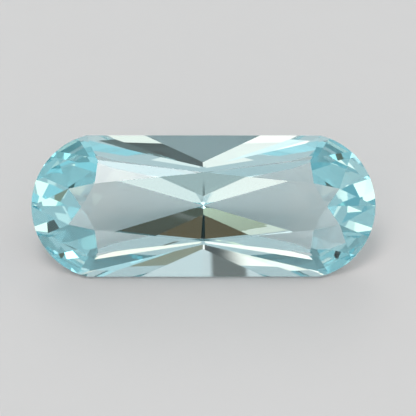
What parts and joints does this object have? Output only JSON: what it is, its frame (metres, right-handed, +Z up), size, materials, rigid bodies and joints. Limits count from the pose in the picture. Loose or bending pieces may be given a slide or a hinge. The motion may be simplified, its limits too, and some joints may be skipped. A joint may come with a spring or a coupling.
{
  "type": "sapphire gemstone",
  "caption": "Faceted pale blue sapphire with straight long sides and rounded ends, lying on its pavilion with its table facing forward and up; for a jewellery setting or a display.",
  "frame": {"origin": "centre of the stone's box, at the surface that it lies on", "axes": "+X along the stone's length, +Z up, and +Y from the side that the table faces to the culet's side"},
  "size_m": [0.0122, 0.0036, 0.0037],
  "materials": {
    "sapphire": "clear, polished"
  },
  "bodies": {
    "root": {"sapphire": "sapphire"}
  },
  "joints": []
}
